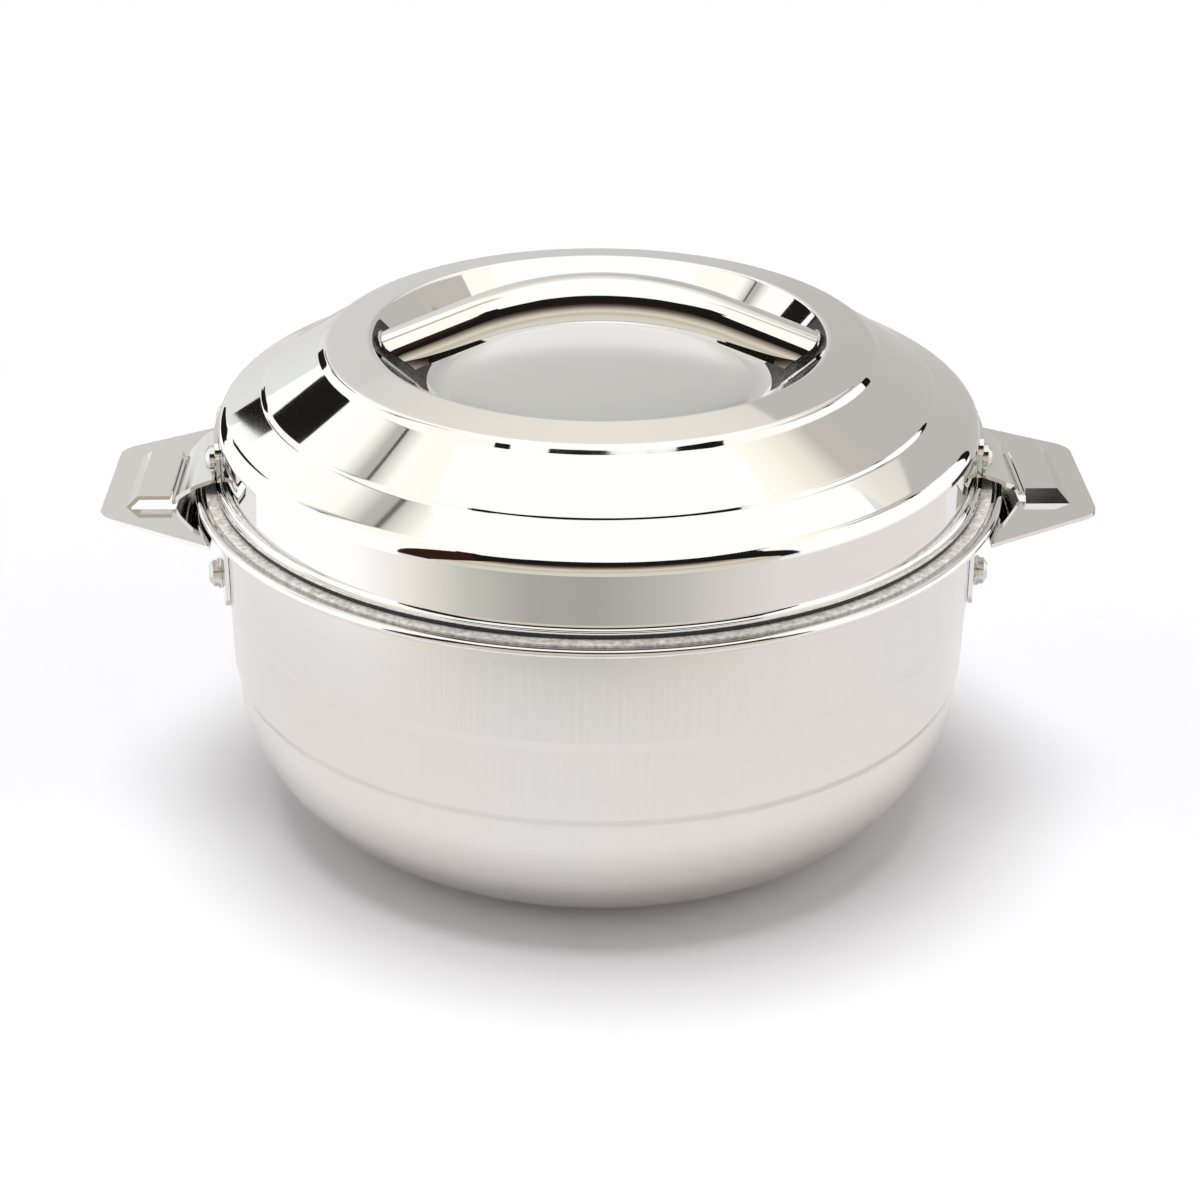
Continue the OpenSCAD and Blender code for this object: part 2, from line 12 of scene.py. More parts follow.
import bmesh
import bpy
from mathutils import Matrix, Vector, noise
from mathutils.geometry import tessellate_polygon
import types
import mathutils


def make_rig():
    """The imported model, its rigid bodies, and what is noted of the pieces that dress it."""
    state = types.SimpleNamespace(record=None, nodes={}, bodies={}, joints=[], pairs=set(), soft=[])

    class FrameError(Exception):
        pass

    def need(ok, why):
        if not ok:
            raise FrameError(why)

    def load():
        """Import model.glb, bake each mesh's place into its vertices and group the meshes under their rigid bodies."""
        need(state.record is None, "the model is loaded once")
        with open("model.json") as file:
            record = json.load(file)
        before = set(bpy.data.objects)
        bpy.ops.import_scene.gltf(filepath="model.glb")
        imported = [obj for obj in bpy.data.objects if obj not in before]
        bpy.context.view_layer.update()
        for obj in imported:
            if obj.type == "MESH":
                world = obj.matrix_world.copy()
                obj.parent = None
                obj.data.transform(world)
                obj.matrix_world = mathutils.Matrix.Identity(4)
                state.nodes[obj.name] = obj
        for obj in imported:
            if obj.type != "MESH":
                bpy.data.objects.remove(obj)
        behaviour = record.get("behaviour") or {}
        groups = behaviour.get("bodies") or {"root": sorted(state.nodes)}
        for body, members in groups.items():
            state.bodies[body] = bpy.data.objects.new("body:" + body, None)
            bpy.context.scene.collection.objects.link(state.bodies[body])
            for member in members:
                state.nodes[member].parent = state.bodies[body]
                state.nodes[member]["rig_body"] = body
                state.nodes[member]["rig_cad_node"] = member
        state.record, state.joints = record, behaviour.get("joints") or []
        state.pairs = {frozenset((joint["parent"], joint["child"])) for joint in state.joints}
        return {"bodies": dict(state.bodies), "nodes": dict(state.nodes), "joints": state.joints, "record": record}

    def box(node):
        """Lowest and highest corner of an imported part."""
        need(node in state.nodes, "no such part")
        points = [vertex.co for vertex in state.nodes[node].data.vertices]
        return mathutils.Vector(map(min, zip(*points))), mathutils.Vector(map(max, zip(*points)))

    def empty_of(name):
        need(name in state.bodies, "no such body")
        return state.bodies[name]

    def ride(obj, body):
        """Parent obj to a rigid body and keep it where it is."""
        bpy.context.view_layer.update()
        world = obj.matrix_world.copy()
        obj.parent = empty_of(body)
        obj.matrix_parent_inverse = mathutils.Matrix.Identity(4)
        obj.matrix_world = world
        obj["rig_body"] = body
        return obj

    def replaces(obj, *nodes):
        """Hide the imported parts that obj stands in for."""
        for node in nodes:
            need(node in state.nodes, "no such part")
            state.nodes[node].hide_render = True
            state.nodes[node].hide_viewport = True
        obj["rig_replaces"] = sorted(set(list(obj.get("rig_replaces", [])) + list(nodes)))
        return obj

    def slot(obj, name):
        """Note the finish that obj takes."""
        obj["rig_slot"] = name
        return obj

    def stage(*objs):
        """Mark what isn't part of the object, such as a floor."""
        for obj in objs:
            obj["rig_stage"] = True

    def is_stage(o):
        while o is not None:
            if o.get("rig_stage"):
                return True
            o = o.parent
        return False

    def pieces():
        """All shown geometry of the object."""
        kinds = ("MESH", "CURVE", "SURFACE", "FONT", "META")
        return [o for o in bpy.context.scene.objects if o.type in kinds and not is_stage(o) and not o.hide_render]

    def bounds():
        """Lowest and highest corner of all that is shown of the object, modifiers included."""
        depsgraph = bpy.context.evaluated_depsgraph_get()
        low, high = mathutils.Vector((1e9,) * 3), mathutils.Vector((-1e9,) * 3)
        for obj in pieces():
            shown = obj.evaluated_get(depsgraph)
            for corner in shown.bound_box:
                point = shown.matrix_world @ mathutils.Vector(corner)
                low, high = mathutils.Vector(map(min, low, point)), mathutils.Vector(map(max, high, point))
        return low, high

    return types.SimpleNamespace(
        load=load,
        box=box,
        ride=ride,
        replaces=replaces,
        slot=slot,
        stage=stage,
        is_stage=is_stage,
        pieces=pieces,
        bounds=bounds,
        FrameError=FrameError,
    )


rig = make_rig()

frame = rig.load()
cad_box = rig.bounds()
MM = 0.001
print("nodes:", len(frame["nodes"]), "bodies:", sorted(frame["bodies"]))

# %% [markdown]
# ## Sizes
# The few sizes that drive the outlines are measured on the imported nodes, in millimetres. Sheet
# thicknesses and radii that no box can tell are written here once.

# %% Read the driving sizes
def corners_of(node):
    low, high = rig.box(node)
    return low / MM, high / MM


shell_high = corners_of("outer_shell")[1]
dome_low, dome_high = corners_of("lid_dome")
liner_low, liner_high = corners_of("lid_liner")
bowl_low, bowl_high = corners_of("inner_bowl")
seal_low, seal_high = corners_of("lid_seal")
ridge_z = corners_of("lid_handle")[1].z

shell_t = 0.8
bowl_t = 0.7
lid_t = 0.7
liner_t = 0.6
bead_r = 1.3
rim_overhang = 7.5
hem_w = 1.6

rim_r = shell_high.x
rim_z = shell_high.z - bead_r
wall_r = rim_r - rim_overhang
hem_r = dome_high.x
hem_z = dome_low.z + lid_t
lid_r = hem_r - hem_w
recess_z = dome_high.z
print(f"rim r {rim_r:.2f} z {rim_z:.2f}, lid r {lid_r:.2f}, "
      f"hem z {hem_z:.2f}, recess z {recess_z:.2f}")

# %% [markdown]
# ## Turned sheets
# Pot, bowl, lid and liner are spun or drawn from round blanks, so each is one outline turned
# about the axis. An outline is a short list of corners (radius, height, rounding). Blender's
# Screw modifier could turn it, but a mirror shows every uneven normal, so the rings are made
# here: each rounding is an arc, with a supporting ring just before and after it that keeps the
# flats flat.

# %% Round the corners of an outline
hold = 0.25


def rounded(corners, step=math.radians(6)):
    """Points along a line of corners (r, z, radius), with an arc at each rounded corner."""
    spots = [Vector(corner[:2]) for corner in corners]
    turns = [0.0] * len(corners)
    runs = [0.0] * len(corners)
    for i in range(1, len(corners) - 1):
        turns[i] = (spots[i] - spots[i - 1]).angle(spots[i + 1] - spots[i])
        runs[i] = corners[i][2] * math.tan(turns[i] / 2)
    for i in range(1, len(corners)):
        length = (spots[i] - spots[i - 1]).length
        both = runs[i - 1] + runs[i]
        if both > length:
            runs[i - 1] *= length / both
            runs[i] *= length / both
    points = [spots[0]]
    for i in range(1, len(corners) - 1):
        if runs[i] < 1e-4:
            points.append(spots[i])
            continue
        back = (spots[i - 1] - spots[i]).normalized()
        ahead = (spots[i + 1] - spots[i]).normalized()
        radius = runs[i] / math.tan(turns[i] / 2)
        centre = spots[i] + (back + ahead).normalized() * math.hypot(radius, runs[i])
        start = spots[i] + back * runs[i]
        end = spots[i] + ahead * runs[i]
        spoke = start - centre
        sign = 1 if spoke.cross(end - centre) > 0 else -1
        if (start - points[-1]).length > 3 * hold:
            points.append(start + back * hold)
        count = max(2, math.ceil(turns[i] / step))
        for j in range(count + 1):
            angle = sign * turns[i] * j / count
            points.append(centre + Matrix.Rotation(angle, 2) @ spoke)
        if (spots[i + 1] - end).length - runs[i + 1] > 3 * hold:
            points.append(end + ahead * hold)
    points.append(spots[-1])
    return points


# %% Give an outline its sheet thickness
def beside(corners, t):
    """The same line of corners moved to its left by t, with roundings to match."""
    moved = []
    last = len(corners) - 1
    for i, (r, z, radius) in enumerate(corners):
        ahead = Vector(corners[min(i + 1, last)][:2]) - Vector(corners[min(i + 1, last) - 1][:2])
        behind = Vector(corners[max(i, 1)][:2]) - Vector(corners[max(i, 1) - 1][:2])
        left_a = Vector((-ahead.y, ahead.x)).normalized()
        left_b = Vector((-behind.y, behind.x)).normalized()
        both = left_a + left_b
        shift = both * 2 * t / both.dot(both)
        bend = behind.cross(ahead)
        inner = radius - t if bend > 0 else radius + t
        moved.append((r + shift.x, z + shift.y, max(inner, 0.1) if radius else 0))
    return moved


def sheet(corners, t):
    return rounded(corners) + rounded(beside(corners, t))[::-1]


# %% Turn an outline about the axis
def mesh_object(name, mesh):
    piece = bpy.data.objects.new(name, mesh)
    bpy.context.scene.collection.objects.link(piece)
    return piece


def mesh_from(name, bm):
    mesh = bpy.data.meshes.new(name)
    bm.to_mesh(mesh)
    bm.free()
    return mesh


def turned(name, outline, around=288, sharp=40):
    """A closed outline (r, z) in millimetres, turned about the Z axis."""
    bm = bmesh.new()
    rings = []
    for point in outline:
        on_axis = point.x < 1e-4
        ring = []
        for i in range(1 if on_axis else around):
            angle = 2 * math.pi * i / around
            ring.append(bm.verts.new(Vector((
                point.x * math.cos(angle), point.x * math.sin(angle), point.y)) * MM))
        rings.append(ring)
    for ring_a, ring_b in zip(rings, rings[1:] + rings[:1]):
        for i in range(around):
            j = (i + 1) % around
            face = [ring_a[i % len(ring_a)], ring_a[j % len(ring_a)],
                    ring_b[j % len(ring_b)], ring_b[i % len(ring_b)]]
            face = list(dict.fromkeys(face))
            if len(face) > 2:
                bm.faces.new(face)
    bmesh.ops.recalc_face_normals(bm, faces=bm.faces)
    mesh = mesh_from(name, bm)
    mesh.shade_smooth()
    mesh.set_sharp_from_angle(angle=math.radians(sharp))
    print(name, "rings", len(outline), "faces", len(mesh.polygons))
    return mesh_object(name, mesh)


# %% [markdown]
# ## Finishes
# Steel is one metal with many finishes. Each finish is a Principled shader with metallic at 1,
# and only its colour, its roughness and its fine relief differ: the lid is buffed to a mirror,
# the pot is left satin with the upright lines of a belt, the plates are flat mirrors. The
# patterns read the piece's own coordinates in metres, so they move with it. Where one sheet has
# two finishes, its faces are chosen by where they lie.

# %% Small helpers for shader nodes
def shader(name, colour, roughness, metallic=1.0):
    material = bpy.data.materials.new(name)
    material.use_nodes = True
    surface = material.node_tree.nodes["Principled BSDF"]
    surface.inputs["Base Color"].default_value = (*colour, 1)
    surface.inputs["Roughness"].default_value = roughness
    surface.inputs["Metallic"].default_value = metallic
    return material, material.node_tree, surface


def place_of(tree, scale=(1, 1, 1)):
    """The point on the piece, in metres, stretched by a scale for each axis."""
    coordinates = tree.nodes.new("ShaderNodeTexCoord")
    stretch = tree.nodes.new("ShaderNodeMapping")
    stretch.inputs["Scale"].default_value = scale
    tree.links.new(coordinates.outputs["Object"], stretch.inputs["Vector"])
    return stretch.outputs["Vector"]


def noise_at(tree, vector, scale, detail):
    texture = tree.nodes.new("ShaderNodeTexNoise")
    texture.inputs["Scale"].default_value = scale
    texture.inputs["Detail"].default_value = detail
    tree.links.new(vector, texture.inputs["Vector"])
    return texture.outputs["Fac"]


def spread(tree, value, low, high, start=0.3, end=0.7):
    """A value from start to end, spread over low to high."""
    ranged = tree.nodes.new("ShaderNodeMapRange")
    ranged.inputs["From Min"].default_value = start
    ranged.inputs["From Max"].default_value = end
    ranged.inputs["To Min"].default_value = low
    ranged.inputs["To Max"].default_value = high
    tree.links.new(value, ranged.inputs["Value"])
    return ranged.outputs["Result"]


def colours_by(tree, value, stops):
    """A colour ramp over a value: stops are (position, colour)."""
    ramp = tree.nodes.new("ShaderNodeValToRGB")
    for i, (position, colour) in enumerate(stops):
        stop = ramp.color_ramp.elements[i] if i < 2 else ramp.color_ramp.elements.new(position)
        stop.position = position
        stop.color = (*colour, 1)
    tree.links.new(value, ramp.inputs["Fac"])
    return ramp.outputs["Color"]


def added(tree, one, other, clamp=False):
    both = tree.nodes.new("ShaderNodeMath")
    both.operation = "ADD"
    both.use_clamp = clamp
    tree.links.new(one, both.inputs[0])
    tree.links.new(other, both.inputs[1])
    return both.outputs[0]


def relief(tree, height, depth, under=None):
    """Bump of a depth in metres, on top of another bump."""
    bump = tree.nodes.new("ShaderNodeBump")
    bump.inputs["Strength"].default_value = 1.0
    bump.inputs["Distance"].default_value = depth
    tree.links.new(height, bump.inputs["Height"])
    if under is not None:
        tree.links.new(under, bump.inputs["Normal"])
    return bump.outputs["Normal"]


def round_place(tree):
    """The distance from the axis and the height of a point, for marks that run round."""
    place = tree.nodes.new("ShaderNodeTexCoord")
    split = tree.nodes.new("ShaderNodeSeparateXYZ")
    flat = tree.nodes.new("ShaderNodeCombineXYZ")
    length = tree.nodes.new("ShaderNodeVectorMath")
    length.operation = "LENGTH"
    joined = tree.nodes.new("ShaderNodeCombineXYZ")
    tree.links.new(place.outputs["Object"], split.inputs["Vector"])
    tree.links.new(split.outputs["X"], flat.inputs["X"])
    tree.links.new(split.outputs["Y"], flat.inputs["Y"])
    tree.links.new(flat.outputs["Vector"], length.inputs[0])
    tree.links.new(length.outputs["Value"], joined.inputs["X"])
    tree.links.new(split.outputs["Z"], joined.inputs["Z"])
    return joined.outputs["Vector"]


# %% Mirror-polished lid steel
dull_inside = 0.044
dull_outside = 0.049


def mirror_steel(name, colour=(0.74, 0.735, 0.72), rough=(0.02, 0.05), wave=0.00003, dull=0.0):
    """Buffed on a wheel while it spins: a mirror with faint rings and a slow unevenness. The
    wheel doesn't reach the flat middle of a recess, which stays a little dull."""
    material, tree, surface = shader(name, colour, rough[0])
    smears = noise_at(tree, place_of(tree), 22, 4)
    middle = tree.nodes.new("ShaderNodeSeparateXYZ")
    tree.links.new(round_place(tree), middle.inputs["Vector"])
    dullness = spread(tree, middle.outputs["X"], dull, 0, dull_inside, dull_outside)
    tree.links.new(added(tree, spread(tree, smears, *rough), dullness),
                   surface.inputs["Roughness"])
    slow = relief(tree, noise_at(tree, place_of(tree), 26, 1), wave)
    rings = noise_at(tree, round_place(tree), 1400, 3)
    tree.links.new(relief(tree, rings, 0.0000006, slow), surface.inputs["Normal"])
    return material


lid_finish = mirror_steel("lid_mirror", dull=0.13)
grip_finish = mirror_steel("grip_mirror", wave=0.00004)
plate_finish = mirror_steel(
    "plate_mirror", colour=(0.74, 0.73, 0.71), rough=(0.05, 0.1), wave=0.00001)


# %% Satin pot steel
def satin_steel(name):
    """Brushed up and down by a belt: soft, with upright lines and a warm and cool cast."""
    material, tree, surface = shader(name, (0.73, 0.7, 0.66), 0.25)
    cast = noise_at(tree, place_of(tree), 13, 4)
    tree.links.new(colours_by(tree, cast, [
        (0.35, (0.725, 0.705, 0.68)), (0.65, (0.73, 0.695, 0.64))]), surface.inputs["Base Color"])
    lines = noise_at(tree, place_of(tree, (1, 1, 0.02)), 1500, 3)
    tree.links.new(spread(tree, lines, 0.2, 0.27), surface.inputs["Roughness"])
    tree.links.new(relief(tree, lines, 0.0000008), surface.inputs["Normal"])
    return material


shell_finish = satin_steel("pot_satin")


# %% Inner steel, screws, seal, foam and plug
def inner_steel(name):
    """Polished inside of bowl and liner, with the rings that the spinning tool leaves."""
    material, tree, surface = shader(name, (0.74, 0.73, 0.71), 0.2)
    rings = noise_at(tree, round_place(tree), 700, 3)
    tree.links.new(spread(tree, rings, 0.12, 0.26), surface.inputs["Roughness"])
    tree.links.new(relief(tree, rings, 0.000003), surface.inputs["Normal"])
    return material


def plain_finish(name, colours, rough, grain, depth, metallic=0.0):
    """A finish with a grain: two colours, a range of roughness and a fine relief."""
    material, tree, surface = shader(name, colours[0], rough[0], metallic)
    speck = noise_at(tree, place_of(tree), grain, 4)
    tree.links.new(colours_by(tree, speck, [(0.35, colours[0]), (0.65, colours[1])]),
                   surface.inputs["Base Color"])
    tree.links.new(spread(tree, speck, *rough), surface.inputs["Roughness"])
    tree.links.new(relief(tree, speck, depth), surface.inputs["Normal"])
    return material


bowl_finish = inner_steel("bowl_steel_polished")
screw_finish = plain_finish(
    "screw_nickel", [(0.56, 0.55, 0.52), (0.68, 0.67, 0.64)],
    rough=(0.08, 0.16), grain=600, depth=0.00001, metallic=1.0)
weld_finish = plain_finish(
    "weld_bead", [(0.35, 0.33, 0.3), (0.7, 0.68, 0.64)],
    rough=(0.2, 0.5), grain=900, depth=0.00005, metallic=1.0)
ledge_finish = plain_finish(
    "ledge_trimmed", [(0.62, 0.59, 0.52), (0.98, 0.96, 0.9)],
    rough=(0.3, 0.45), grain=700, depth=0.00012, metallic=0.3)
# Near-black steel is painted shade on the handle's downward faces, and a painted reflection of that shade on the
# recess wall under the handle's ends.
painted_shade_and_reflection = plain_finish(
    "grip_painted_shade_and_reflection", [(0.02, 0.018, 0.016), (0.05, 0.045, 0.04)],
    rough=(0.25, 0.45), grain=500, depth=0.00001, metallic=1.0)
seal_finish = plain_finish(
    "seal_black_rubber", [(0.012, 0.012, 0.013), (0.03, 0.03, 0.03)],
    rough=(0.4, 0.6), grain=700, depth=0.00003)
foam_finish = plain_finish(
    "rigid_foam", [(0.82, 0.74, 0.5), (0.88, 0.82, 0.62)],
    rough=(0.8, 0.95), grain=500, depth=0.0002)
plug_finish = plain_finish(
    "plug_dark_plastic", [(0.03, 0.03, 0.032), (0.05, 0.05, 0.052)],
    rough=(0.35, 0.5), grain=300, depth=0.00003)
print("finishes:", len(bpy.data.materials))


# %% Dress a piece: finish, body, node it stands for, slot of the record
def dress(piece, finish, body, slot, *nodes):
    piece.data.materials.clear()
    piece.data.materials.append(finish)
    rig.ride(piece, body)
    if nodes:
        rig.replaces(piece, *nodes)
    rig.slot(piece, slot)
    return piece


def refinish(piece, finish, chosen):
    """Give another finish to the faces that are chosen by distance from the axis and by y."""
    piece.data.materials.append(finish)
    for face in piece.data.polygons:
        centre = face.center / MM
        if chosen(math.hypot(centre.x, centre.y), centre.y):
            face.material_index = len(piece.data.materials) - 1


# %% [markdown]
# ## The pot
# The outer wall is one drawn sheet: a foot with a raised middle, a big round corner, two drawn
# rings that each step the wall in, and a flange that is rolled to a bead. The bead could be a
# separate ring, but on the real pot it is the sheet's own edge, so it stays in the outline. The
# flange and the bead are polished, and the wall below them is satin.

# %% Outer shell
plug_r = 6.0
dish_r = 50.0
dish_h = 2.0
corner_r = 46.0
low_ring_z = 47.2
high_ring_z = 71.5
ring_slope_h = 2.8
ring_step = 0.9
wall_draft = 0.4
dish_bend_r = 2
foot_bend_r = 3
ring_bend_r = 1.6
under_rim_r = 4.0
bead_turn = 322
bead_steps = 30
mid_r = wall_r - ring_step
low_r = mid_r - wall_draft - ring_step
bead_c = rim_r - bead_r

shell_line = [
    (plug_r, dish_h, 0),
    (dish_r, dish_h, dish_bend_r),
    (dish_r + 2 * dish_h, 0, foot_bend_r),
    (low_r, 0, corner_r),
    (low_r, low_ring_z, ring_bend_r),
    (mid_r - wall_draft, low_ring_z + ring_slope_h, ring_bend_r),
    (mid_r, high_ring_z, ring_bend_r),
    (wall_r, high_ring_z + ring_slope_h, ring_bend_r),
    (wall_r, rim_z, under_rim_r),
    (bead_c - bead_r - 0.1, rim_z, 0)]
bead = [Vector((bead_c + bead_r * math.cos(a), rim_z + bead_r * math.sin(a)))
        for a in [math.radians(180 + bead_turn * i / bead_steps) for i in range(bead_steps + 1)]]
shell_outline = rounded(shell_line) + bead + rounded(beside(shell_line, shell_t))[::-1]
pot_shell = dress(turned("pot_shell", shell_outline),
                  shell_finish, "pot", "shell_steel", "outer_shell")
refinish(pot_shell, plate_finish, lambda r, y: r > wall_r + under_rim_r)

# %% [markdown]
# The bowl is the pan that holds the bread. Under the closed lid only its trimmed flange shows,
# as a bright, coarse ledge inside the bead.

# %% Inner bowl
foam_t = 7.9
bowl_corner_r = 32
bowl_lip_r = 3
bowl_r = wall_r - shell_t - foam_t - bowl_t
bowl_floor_z = bowl_low.z + bowl_t
ledge_z = bowl_high.z
ledge_r = bowl_high.x
bowl_line = [
    (0, bowl_floor_z, 0),
    (bowl_r, bowl_floor_z, bowl_corner_r),
    (bowl_r, ledge_z, bowl_lip_r),
    (ledge_r, ledge_z, 0)]
bowl = dress(turned("bread_bowl", sheet(bowl_line, -bowl_t)),
             bowl_finish, "pot", "bowl_steel", "inner_bowl")
refinish(bowl, ledge_finish, lambda r, y: r > bowl_r + bowl_lip_r + 1)

# %% [markdown]
# ## The lid
# From the middle outwards: a flat recess for the fingers, its sloping wall, a nearly flat crown
# ring with a narrow steep edge, a long slope with one drawn step, the shoulder, a short upright
# wall and the hem. The soft roundings could be left to a bevel, but each one draws its own line
# of reflections, so each has its own radius here. The strip of the recess wall under each end
# of the handle is painted near-black, a painted reflection of the handle's dark inside, which
# is itself painted shade.

# %% Lid dome
crown_inset = 32
crown_w = 12.9
crown_h = 38.4
crown_edge_r = 3.2
recess_wall_w = 17.2
recess_depth = 15.8
recess_fillet_r = 12
recess_edge_r = 2
crease_w = 1.9
crease_h = 1.95
crease_fillet_r = 0.6
step_inset = 13.3
step_h = 25.12
step_bend_r = 2.5
shoulder_h = 14.8
shoulder_r = 5.5
shoulder_top = math.radians(62.0)
hem_fillet_r = 1.4
painted_reflection_half_w = 11.6

crown_r = lid_r - crown_inset
recess_r = crown_r - crown_w
crown_z = hem_z + crown_h
floor_r = recess_r - recess_wall_w
floor_z = recess_z - recess_depth
recess_edge = recess_r - 0.3
step_r = lid_r - step_inset
step_z = hem_z + step_h
shoulder_start = Vector((
    lid_r - shoulder_r + shoulder_r * math.cos(shoulder_top),
    hem_z + shoulder_h + shoulder_r * math.sin(shoulder_top)))
slope = Vector((math.sin(shoulder_top), -math.cos(shoulder_top)))
shoulder_corner = shoulder_start + slope * (lid_r - shoulder_start.x) / slope.x

lid_line = [
    (0, floor_z, 0),
    (floor_r, floor_z, recess_fillet_r),
    (recess_edge, recess_z, recess_edge_r),
    (crown_r - 0.1, crown_z + 0.05, crown_edge_r),
    (crown_r + crease_w, crown_z - crease_h, crease_fillet_r),
    (step_r - 0.7, step_z + 0.78, step_bend_r),
    (step_r, step_z, step_bend_r),
    (shoulder_corner.x, shoulder_corner.y, shoulder_r),
    (lid_r, hem_z, hem_fillet_r),
    (hem_r, hem_z, 0)]
lid_shell = dress(turned("lid_shell", sheet(lid_line, -lid_t)),
                  lid_finish, "lid", "lid_steel", "lid_dome")
# The recess wall under the handle's ends is painted near-black: a painted reflection of the handle's dark inside.
refinish(lid_shell, painted_shade_and_reflection,
         lambda r, y: floor_r + 1 < r < recess_r - 1 and abs(y) < painted_reflection_half_w)

# %% [markdown]
# The liner closes the lid from below and keeps the foam dry. It is one more turned sheet, so it
# is made as the dome is. The seal is a flat rubber ring. A torus squashed flat would be quicker,
# but the ring lies on the ledge with flat faces, so it is turned from a rounded rectangle.

# %% Liner and seal
liner_gap = 1.2
liner_dome = 1.5
liner_flat_r = 30
liner_dome_r = 40
liner_corner_r = 4
seal_w = 6
seal_edge_r = 0.4
liner_r = bowl_r - liner_gap
liner_z = liner_low.z
seat_z = liner_high.z
liner_line = [
    (0, liner_z + liner_dome, 0),
    (liner_flat_r, liner_z + liner_dome, liner_dome_r),
    (liner_r, liner_z, liner_corner_r),
    (liner_r, seat_z - liner_t, liner_t),
    (liner_high.x, seat_z - liner_t, 0)]
dress(turned("lid_liner_sheet", sheet(liner_line, liner_t)),
      bowl_finish, "lid", "bowl_steel", "lid_liner")

seal_inner_r = seal_high.x - seal_w
seal_mid = (seal_inner_r, (seal_low.z + seal_high.z) / 2, 0)
seal_outline = rounded([
    seal_mid,
    (seal_inner_r, seal_low.z, seal_edge_r),
    (seal_high.x, seal_low.z, seal_edge_r),
    (seal_high.x, seal_high.z, seal_edge_r),
    (seal_inner_r, seal_high.z, seal_edge_r),
    seal_mid])[:-1]
dress(turned("lid_seal_ring", seal_outline), seal_finish, "seal", "seal_rubber", "lid_seal")

# %% [markdown]
# ## The handle on the lid
# It is a strip of sheet pressed to a half-round gutter and bent to an arch. Its ends run down
# into the recess and are welded to the sloping wall. A curve with a bevel profile would sweep
# it, but its ends follow the cone of the wall, so each line along the sheet is run until it
# meets that cone. Only the ridge touches: towards its flanks the strip is cut back a little, and
# in the gap the recess wall shows, painted near-black there as a painted reflection, as a dark
# crescent beside each weld.

# %% Section and path of the handle
grip_r = 11.0
grip_t = 1.0
grip_h = 10.3
arch_r = 100.0
arch_run = arch_r * math.radians(22.3)
flank_gap = 3.2
arch_z = ridge_z - arch_r


def grip_section(rows=40):
    """Closed outline across the sheet: (sideways, below the ridge)."""
    cut = grip_r - grip_h
    outer_end = math.acos(cut / grip_r)
    inner_end = math.acos(cut / (grip_r - grip_t))
    outer = [(grip_r, outer_end * (2 * i / rows - 1)) for i in range(rows + 1)]
    inner = [(grip_r - grip_t, -inner_end * (2 * i / rows - 1)) for i in range(rows + 1)]
    return [(r * math.sin(a), grip_r - r * math.cos(a)) for r, a in outer + inner]


def on_path(run, below):
    """Point at a run along the ridge from its middle, and so far below the ridge."""
    side = math.copysign(1, run)
    bent = min(abs(run), arch_run) / arch_r
    straight = abs(run) - bent * arch_r
    out = (arch_r - below) * math.sin(bent) + straight * math.cos(bent)
    up = (arch_r - below) * math.cos(bent) - straight * math.sin(bent)
    return side * out, arch_z + up


def past_wall(x, y, z):
    """How far a point lies past the sloping recess wall."""
    slope_w = (recess_edge - floor_r) / (recess_z - floor_z)
    return math.hypot(x, y) - (floor_r + (z - floor_z) * slope_w)


def run_to_wall(y, below):
    """The run at which a line along the sheet meets the wall, found by halving."""
    low, high = arch_run, recess_r
    for _ in range(40):
        middle = (low + high) / 2
        x, z = on_path(middle, below)
        low, high = (middle, high) if past_wall(x, y, z) < 0 else (low, middle)
    return low


# %% Sweep the handle
def swept_grip(name, stations=90, end_stations=16):
    """Stations are close along the arch and few along each straight end."""
    bm = bmesh.new()
    section = grip_section()
    lines = []
    for y, below in section:
        end = run_to_wall(y, below) - flank_gap * (y / grip_r) ** 2
        half = [arch_run * i / stations for i in range(1, stations + 1)]
        half += [arch_run + (end - arch_run) * i / end_stations
                 for i in range(1, end_stations + 1)]
        runs = [-run for run in reversed(half)] + [0] + half
        line = []
        for run in runs:
            x, z = on_path(run, below)
            line.append(bm.verts.new(Vector((x, y, z)) * MM))
        lines.append(line)
    for line_a, line_b in zip(lines, lines[1:] + lines[:1]):
        for i in range(len(line_a) - 1):
            bm.faces.new((line_a[i], line_a[i + 1], line_b[i + 1], line_b[i]))
    rows = len(lines) // 2
    for i in range(rows - 1):
        for tip in (0, -1):
            bm.faces.new((lines[i][tip], lines[i + 1][tip],
                          lines[-i - 2][tip], lines[-i - 1][tip]))
    bmesh.ops.recalc_face_normals(bm, faces=bm.faces)
    mesh = mesh_from(name, bm)
    mesh.shade_smooth()
    mesh.set_sharp_from_angle(angle=math.radians(50))
    return mesh_object(name, mesh)


grip = dress(swept_grip("lid_grip"), grip_finish, "lid", "lid_steel", "lid_handle")
# The handle's downward faces, inside its gutter, are painted near-black: painted shade.
grip.data.materials.append(painted_shade_and_reflection)
for face in grip.data.polygons:
    if face.normal.z < 0:
        face.material_index = 1
print("grip faces", len(grip.data.polygons))

# %% [markdown]
# The welder runs a short bead over the top of each end of the handle. A bevelled curve would
# give an even bead, but real ones are lumpy, so each is a tube along the seam whose radius
# wanders.

# %% Weld beads
bead_width = 0.55
lumps = 0.9


